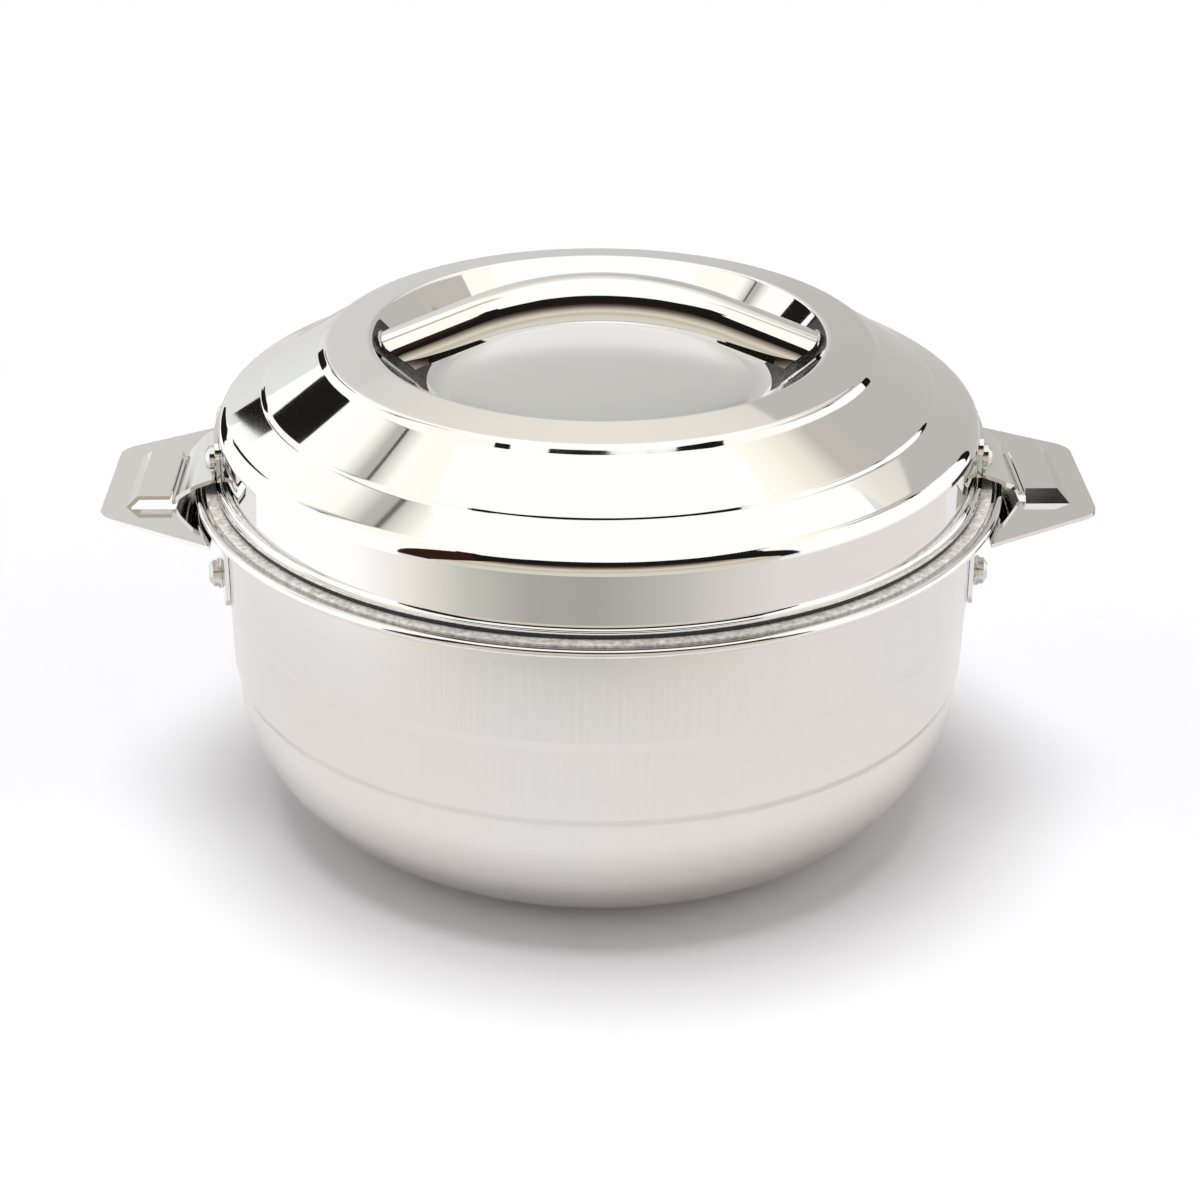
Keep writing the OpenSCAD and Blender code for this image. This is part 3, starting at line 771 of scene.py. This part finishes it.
def weld_bead(name, end, first=-34, last=26, rings=36, around=10):
    """A bead from the first to the last angle round the handle's section."""
    seam = []
    for i in range(rings):
        angle = math.radians(first + (last - first) * i / (rings - 1))
        y, below = grip_r * math.sin(angle), grip_r - grip_r * math.cos(angle)
        x, z = on_path(end * run_to_wall(y, below), below)
        seam.append(Vector((x, y, z)))
    bm = bmesh.new()
    tube = []
    for i, spot in enumerate(seam):
        along = (seam[min(i + 1, rings - 1)] - seam[max(i - 1, 0)]).normalized()
        side = along.cross(Vector((end, 0, 0))).normalized()
        up = side.cross(along)
        swell = bead_width * math.sin(math.pi * (i + 0.5) / rings) ** 0.4
        ring = []
        for j in range(around):
            a = 2 * math.pi * j / around
            out = side * math.cos(a) + up * math.sin(a)
            bump = 1 + 0.5 * noise.noise((spot + out) * lumps)
            ring.append(bm.verts.new((spot + out * swell * bump) * MM))
        tube.append(ring)
    for ring_a, ring_b in zip(tube, tube[1:]):
        for j in range(around):
            k = (j + 1) % around
            bm.faces.new((ring_a[j], ring_a[k], ring_b[k], ring_b[j]))
    bm.faces.new(tube[0])
    bm.faces.new(tube[-1])
    bmesh.ops.recalc_face_normals(bm, faces=bm.faces)
    mesh = mesh_from(name, bm)
    mesh.shade_smooth()
    return mesh_object(name, mesh)


for end, side in ((1, "right"), (-1, "left")):
    dress(weld_bead("grip_weld_" + side, end), weld_finish, "lid", "lid_steel")

# %% [markdown]
# ## Pressed plates and lugs
# The side plates and the lugs are stamped sheet. Their solids already have the true outline,
# the lock pocket and the tongue, with sharp folds. A copy of each is welded into one skin, its
# flat triangles are joined, and its edges are rounded as a press rounds them. The plates throw
# no shadow, so that the paper beside the pot stays bright.

# %% Copy a pressed node and round its edges
def pressed(name, node, edge=0.25, segments=3):
    source = frame["nodes"][node].data
    bm = bmesh.new()
    bm.from_mesh(source)
    bmesh.ops.remove_doubles(bm, verts=bm.verts, dist=0.004 * MM)
    bmesh.ops.dissolve_limit(bm, angle_limit=math.radians(0.8), verts=bm.verts, edges=bm.edges)
    bmesh.ops.recalc_face_normals(bm, faces=bm.faces)
    mesh = mesh_from(name, bm)
    mesh.shade_smooth()
    piece = mesh_object(name, mesh)
    bevel = piece.modifiers.new("pressed_edges", "BEVEL")
    bevel.width = edge * MM
    bevel.segments = segments
    bevel.limit_method = "ANGLE"
    bevel.angle_limit = math.radians(25)
    even = piece.modifiers.new("flat_faces", "WEIGHTED_NORMAL")
    even.keep_sharp = True
    print(name, "faces", len(mesh.polygons))
    return piece


for side in ("right", "left"):
    plate = dress(pressed("side_plate_" + side, "handle_plate_" + side),
                  plate_finish, "pot", "plate_steel", "handle_plate_" + side)
    plate.visible_shadow = False
    dress(pressed("lock_lug_" + side, "lid_lug_" + side),
          plate_finish, "lid", "plate_steel", "lid_lug_" + side)

# %% [markdown]
# ## Pieces that keep their solids
# Screws, washers, nuts, the foam and the plug have their true shape already, so they stay as
# they are and only get their finish.

# %% Finish the carried-over nodes
def finish_node(node, finish):
    data = frame["nodes"][node].data
    data.materials.clear()
    data.materials.append(finish)


for side in ("right", "left"):
    for part in ("body_screws_", "body_washers_", "body_nuts_", "lid_screws_", "lid_nuts_"):
        finish_node(part + side, screw_finish)
for node in ("body_insulation", "lid_insulation"):
    finish_node(node, foam_finish)
finish_node("fill_plug", plug_finish)

# %% [markdown]
# ## The studio
# Polished steel has no colour of its own to show: what is seen is the studio. So the studio is
# built as a photographer sets it: a pale floor, white panels overhead and at both sides, a grey
# wall behind with black lamp stands before it, and behind the camera a dark room above a table
# edge. A picture of a studio wrapped round the scene would be quicker, but cards can be moved
# one by one until each reflection sits where it should. The cards are hidden from the camera
# and from the floor. Each hangs on a dome of its own size, so that none cuts into another.

# %% Paper and cards
def emitter(name, colours):
    """Glowing paper: one colour, or a fade through several, by the card's own fade value."""
    material = bpy.data.materials.new(name)
    material.use_nodes = True
    tree = material.node_tree
    tree.nodes.clear()
    glow = tree.nodes.new("ShaderNodeEmission")
    glow.inputs["Color"].default_value = (*colours[0], 1)
    if len(colours) > 1:
        share = tree.nodes.new("ShaderNodeAttribute")
        share.attribute_name = "fade"
        stops = [(i / (len(colours) - 1), colour) for i, colour in enumerate(colours)]
        tree.links.new(colours_by(tree, share.outputs["Fac"], stops), glow.inputs["Color"])
    output = tree.nodes.new("ShaderNodeOutputMaterial")
    tree.links.new(glow.outputs["Emission"], output.inputs["Surface"])
    return material


dome_centre = Vector((0, 0, 0.12))
far = 4.0
card_edge = 3
card_rounds = 9


def on_dome(azimuth, elevation, distance):
    """Azimuth 0 is towards the camera and 90 towards the right, elevation 0 is level."""
    a, e = math.radians(azimuth), math.radians(elevation)
    return dome_centre + distance * Vector((
        math.cos(e) * math.sin(a), -math.cos(e) * math.cos(a), math.sin(e)))


def hang(name, mesh, colours):
    piece = mesh_object(name, mesh)
    piece.data.materials.append(emitter(name + "_paper", colours))
    piece.visible_camera = False
    piece.visible_diffuse = False
    piece.visible_shadow = False
    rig.stage(piece)
    return piece


def faded(mesh, shares):
    fade = mesh.attributes.new("fade", "FLOAT", "POINT")
    fade.data.foreach_set("value", shares)


def card(name, outline, colours, fade=((0, 0), (0, 1)), distance=far):
    """A card on a dome round the pot. Its outline is (azimuth, elevation) corners, and its
    colours fade from the first of two such places to the second. It is cut into pieces of a
    few degrees, so that it follows the dome."""
    flat = [Vector((azimuth, elevation, 0)) for azimuth, elevation in outline]
    bm = bmesh.new()
    verts = [bm.verts.new(point) for point in flat]
    for triangle in tessellate_polygon([flat]):
        bm.faces.new([verts[i] for i in triangle])
    for _ in range(card_rounds):
        long_edges = [edge for edge in bm.edges if edge.calc_length() > card_edge]
        if not long_edges:
            break
        bmesh.ops.subdivide_edges(bm, edges=long_edges, cuts=1)
        bmesh.ops.triangulate(bm, faces=bm.faces)
    start, end = Vector(fade[0]), Vector(fade[1])
    along = (end - start) / (end - start).length_squared
    shares = [(vert.co.xy - start).dot(along) for vert in bm.verts]
    for vert in bm.verts:
        vert.co = on_dome(vert.co.x, vert.co.y, distance)
    mesh = mesh_from(name, bm)
    faded(mesh, shares)
    return hang(name, mesh, colours)


def ribbon(name, path, half_width, colours, distance, across=8):
    """A band of paper along a path of (azimuth, elevation), whose colours fade across it."""
    spots = [Vector(spot) for spot in path]
    verts, shares, faces = [], [], []
    for i, spot in enumerate(spots):
        ahead = (spots[min(i + 1, len(spots) - 1)] - spots[max(i - 1, 0)]).normalized()
        side = Vector((-ahead.y, ahead.x))
        for j in range(across + 1):
            share = j / across
            place = spot + side * half_width * (2 * share - 1)
            verts.append(on_dome(place.x, place.y, distance))
            shares.append(share)
    for i in range(len(spots) - 1):
        for j in range(across):
            a = i * (across + 1) + j
            faces.append((a, a + 1, a + across + 2, a + across + 1))
    mesh = bpy.data.meshes.new(name)
    mesh.from_pydata(verts, [], faces)
    faded(mesh, shares)
    return hang(name, mesh, colours)


# %% Set the cards
panel_white = (1.345, 1.35, 1.36)
panel_cream = (1.33, 1.32, 1.2)
soft_grey = (0.62, 0.61, 0.57)
line_grey = (0.12, 0.12, 0.115)
seam_pale = (1.02, 1.0, 0.93)
room_black = (0.013, 0.012, 0.01)
room_brown = (0.043, 0.016, 0.012)
wall_cream = (1.09, 1.03, 0.92)
wall_pale = (0.97, 0.93, 0.86)
wall_light = (0.84, 0.835, 0.81)
wall_mid = (0.74, 0.74, 0.715)
wall_grey = (0.66, 0.66, 0.64)
wall_shade = (0.64, 0.63, 0.6)
shade_warm = (0.69, 0.66, 0.6)
wall_dawn = (1.26, 1.2, 1.06)
wall_glow = (0.98, 1.0, 0.98)
wall_blue = (0.74, 0.77, 0.81)
table_dawn = (0.88, 0.86, 0.77)
table_pale = (0.86, 0.82, 0.66)
table_dusk = (0.7, 0.63, 0.53)
table_tan = (0.95, 0.87, 0.7)
table_rust = (0.6, 0.53, 0.45)
table_dark = (0.2, 0.17, 0.14)
table_dim = (0.84, 0.8, 0.765)
foot_warm = (1.12, 1.06, 0.98)
foot_grey = (0.72, 0.72, 0.66)
foot_dusk = (0.53, 0.515, 0.475)
foot_dark = (0.49, 0.487, 0.46)
foot_mid = (0.63, 0.615, 0.58)
stand_grey = (0.05, 0.05, 0.05)
lavender = (1.0, 0.94, 0.93)

card("overhead_panel", [(-180, 46), (180, 46), (180, 90), (-180, 90)],
     [panel_white], distance=far + 0.5)
card("wall_behind", [(130, -30), (222, -30), (222, 48), (130, 48)],
     [wall_shade, wall_grey, wall_mid, wall_light, wall_glow], ((160, 0), (208, 0)), far + 0.4)
card("wall_top", [(130, 29), (222, 29), (222, 50), (130, 50)],
     [wall_light, wall_pale, wall_cream, panel_white], ((0, 28), (0, 50)), far + 0.35)
card("wall_shade", [(107, 66), (114, 60), (120, 53.5), (125.5, 47), (129.5, 42), (133, 38.5),
                    (140, 31), (150, 31.5), (166, 36), (171, 36), (171, -12), (134, -12),
                    (133, -3), (135, 22), (126, 34), (116, 48), (106, 60)],
     [panel_cream, wall_dawn, wall_cream, shade_warm, shade_warm, wall_shade, wall_shade],
     ((108, 0), (133, 0)), far - 0.02)
card("wall_shade_low", [(104.5, 52), (110, 48.5), (117, 45), (122, 40.5), (127, 36), (127, 30),
                        (112, 36), (102, 46)],
     [shade_warm], distance=far - 0.03)
card("wall_foot", [(134, -12), (222, -12), (222, -28), (134, -28)],
     [wall_shade, wall_blue], ((0, -12), (0, -22)), far + 0.3)
card("left_panel", [(-150, -28), (-58, -28), (-58, 57), (-98, 62), (-132, 62), (-150, 52)],
     [panel_cream, panel_white, panel_white], ((0, 60), (0, 0)), far)
panel_seam = [(-108, 40), (-115, 45.5), (-120.5, 50.5), (-126, 55.5), (-129.8, 59.5)]
ribbon("left_panel_turn", panel_seam, 8,
       [panel_white, panel_cream, seam_pale, soft_grey, soft_grey, seam_pale, panel_cream],
       far - 0.05)
ribbon("left_panel_gap", panel_seam, 0.5, [line_grey], far - 0.06)
card("right_panel", [(56, -6), (133, -6), (133, 36), (128, 39.5), (121, 48.5), (112, 56),
                     (100, 60), (70, 55), (56, 48)],
     [panel_white, panel_white, panel_cream], ((0, 0), (0, 60)), far)
card("right_panel_foot", [(50, -28), (133, -28), (133, -6), (50, -6)],
     [lavender, lavender, panel_white], ((0, -28), (0, -6)), far)
card("room_behind_camera", [(-58, -5), (50, -5), (50, 3), (56, 3), (56, 44), (62, 54), (70, 54.5),
                            (66, 58.5), (52, 60.5), (45, 61), (30, 63.5), (0, 66), (-13, 66.3),
                            (-22, 65.4), (-31, 64.4), (-36, 62), (-50, 58.5), (-56, 60.5),
                            (-62, 58.4), (-60, 56), (-58, 55)],
     [room_black], distance=far - 0.1)
card("room_left_side", [(-58, -5), (-45, -5), (-36, 16), (-40, 40), (-50, 54), (-58, 56)],
     [room_brown], distance=far - 0.15)
card("table_edge", [(-46, -14), (46, -14), (50, -4), (50, 8), (46, 20), (38, 34), (22, 44), (0, 48),
                    (-20, 44), (-33, 35), (-41, 14), (-48, -3)],
     [table_dawn, table_dawn, table_pale, table_dusk, table_tan, table_rust, table_dark, room_brown,
      room_black], ((0, -10), (0, 48)), far - 0.2)
card("table_foot", [(-78, -30), (54, -30), (54, -15), (42, -12), (-34, -12), (-48, -14), (-60, -18),
                    (-78, -21)],
     [panel_white, foot_warm, foot_grey, foot_dusk, foot_dark, foot_mid, table_dim, lavender],
     ((-77, 0), (54, 0)), far - 0.25)

# %% [markdown]
# The black shapes at both sides of the lid are stands that the steel sees against the wall. They
# could be modelled with their poles and lamps, but steel this curved shows only an outline, so
# each part of a stand is one flat card.

# %% Set the lamp stands
stand_distance = far - 0.2
stands = {
    "left_stand_head": [(-146, 18.4), (-142.5, 17.8), (-138, 24), (-133.8, 30.6), (-135, 33.4),
                        (-138.5, 30.9), (-141.8, 27.4), (-145.2, 22.2)],
    "left_stand_arm": [(-154.3, 12), (-152.2, 12.7), (-149, 17.8), (-145.2, 24), (-146, 25.6),
                       (-148.6, 24), (-152, 18.8), (-155, 14)],
    "left_stand_foot": [(-153, -2), (-147, -8), (-140, -9), (-139.5, 5), (-144, 11), (-147, 13.3),
                        (-150, 10.3), (-153, 6)],
    "right_stand_head": [(134.6, 43), (138, 35), (139.8, 31), (141.4, 28.4), (142.8, 28.2),
                         (141.6, 32), (139.2, 36), (137, 40)],
    "right_stand_arm": [(129, -3), (133, -3), (136, 18), (133, 20), (131, 16)],
    "right_stand_foot": [(121, 38.5), (124, 36.6), (121, 31.5), (116.5, 33.5)]}
for stand, outline in stands.items():
    card(stand, outline, [room_black], distance=stand_distance)
card("right_low_stand", [(119, -10), (126, -24), (144, -25), (140, -16), (128, -9)],
     [stand_grey], distance=stand_distance)

# %% [markdown]
# The floor is pale paper, cut into a middle and an outside. Only the middle, which lies under
# the pot, shows in the steel: further out the steel sees the cards down to the table's edge.

# %% Floor
floor_hole = 0.001
near_reach = 0.3
floor_reach = 14.0


def floor_ring(name, inner, outer, around=96):
    bm = bmesh.new()
    rows = []
    for r in (inner, outer):
        rows.append([bm.verts.new((r * math.cos(2 * math.pi * i / around),
                                   r * math.sin(2 * math.pi * i / around), 0))
                     for i in range(around)])
    for i in range(around):
        j = (i + 1) % around
        bm.faces.new((rows[0][i], rows[1][i], rows[1][j], rows[0][j]))
    if inner == floor_hole:
        bm.faces.new(rows[0])
    mesh = mesh_from(name, bm)
    piece = mesh_object(name, mesh)
    piece.data.materials.append(floor_finish)
    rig.stage(piece)
    return piece


floor_finish, _, floor_surface = shader("pale_floor", (0.97, 0.97, 0.97), 0.95, 0.0)
floor_surface.inputs["Specular IOR Level"].default_value = 0.0
floor_ring("floor_middle", floor_hole, near_reach)
floor_outside = floor_ring("floor_outside", near_reach, floor_reach)
floor_outside.visible_glossy = False

# %% [markdown]
# The air of the studio lights everything evenly, and three wide suns stand for the overhead
# panel and the two side panels. The overhead one is the strong one and throws the soft shadow
# round the foot. To the camera and to the steel the air is plain white, and to the rest it is
# dimmer and a little blue.

# %% Air and lamps
world = bpy.data.worlds.new("studio_air")
bpy.context.scene.world = world
world.use_nodes = True
air = world.node_tree
background = air.nodes["Background"]
path = air.nodes.new("ShaderNodeLightPath")
air_light = 0.22
air_blue = (0.98, 0.95, 1.09)
seen = added(air, added(air, path.outputs["Is Camera Ray"], path.outputs["Is Glossy Ray"]),
             path.outputs["Is Transmission Ray"], clamp=True)
air.links.new(spread(air, seen, air_light, 1.0, 0, 1), background.inputs["Strength"])
air.links.new(colours_by(air, seen, [(0, air_blue), (1, (1, 1, 1))]),
              background.inputs["Color"])


def wide_sun(name, azimuth, elevation, spread_angle, share):
    """A sun so wide that its shadow is soft. Its share is what it adds to a white floor."""
    data = bpy.data.lights.new(name, "SUN")
    data.angle = math.radians(spread_angle)
    data.energy = share * math.pi / math.sin(math.radians(elevation))
    piece = bpy.data.objects.new(name, data)
    bpy.context.scene.collection.objects.link(piece)
    towards = dome_centre - on_dome(azimuth, elevation, 1)
    piece.rotation_euler = towards.to_track_quat("-Z", "Y").to_euler()
    piece.visible_glossy = False


wide_sun("overhead_light", azimuth=-60, elevation=87, spread_angle=34, share=0.64)
wide_sun("left_light", azimuth=-75, elevation=42, spread_angle=50, share=0.07)
wide_sun("right_light", azimuth=60, elevation=45, spread_angle=60, share=0.1)

# %% [markdown]
# ## The camera
# The camera stands about 0.8 m from the pot and looks down at it. Its place could be found by
# eye, but it was worked out from the ellipses that the round edges of lid and rim make in the
# photograph, because a wrong distance makes every one of them too flat or too round.

# %% Camera
view_turn = math.radians(-1.25)
view_roll = math.radians(0.34)
view_shift = 0.62
camera_distance = 725.2
camera_height = 424.8
target_height = 61.31
camera_data = bpy.data.cameras.new("photo_camera")
camera_data.lens = 79.17
camera_data.sensor_width = 36
camera = bpy.data.objects.new("photo_camera", camera_data)
bpy.context.scene.collection.objects.link(camera)
spin = Matrix.Rotation(view_turn, 4, "Z")
stand_point = spin @ Vector((view_shift, -camera_distance, camera_height)) * MM
target = spin @ Vector((view_shift, 0, target_height)) * MM
look = (target - stand_point).to_track_quat("-Z", "Y").to_matrix().to_4x4()
roll = Matrix.Rotation(view_roll, 4, "Z")
camera.matrix_world = Matrix.Translation(stand_point) @ look @ roll
print("camera at", [round(value, 4) for value in camera.matrix_world.translation])
bpy.context.scene.camera = camera
bpy.context.scene.view_settings.view_transform = "Standard"

# %% Write the sizes and finish
plain = lambda box: [[float(v) for v in corner] for corner in box]
with open("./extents.json", "w") as out:
    json.dump({"cad": plain(cad_box), "visual": plain(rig.bounds())}, out)
print(open("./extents.json").read())
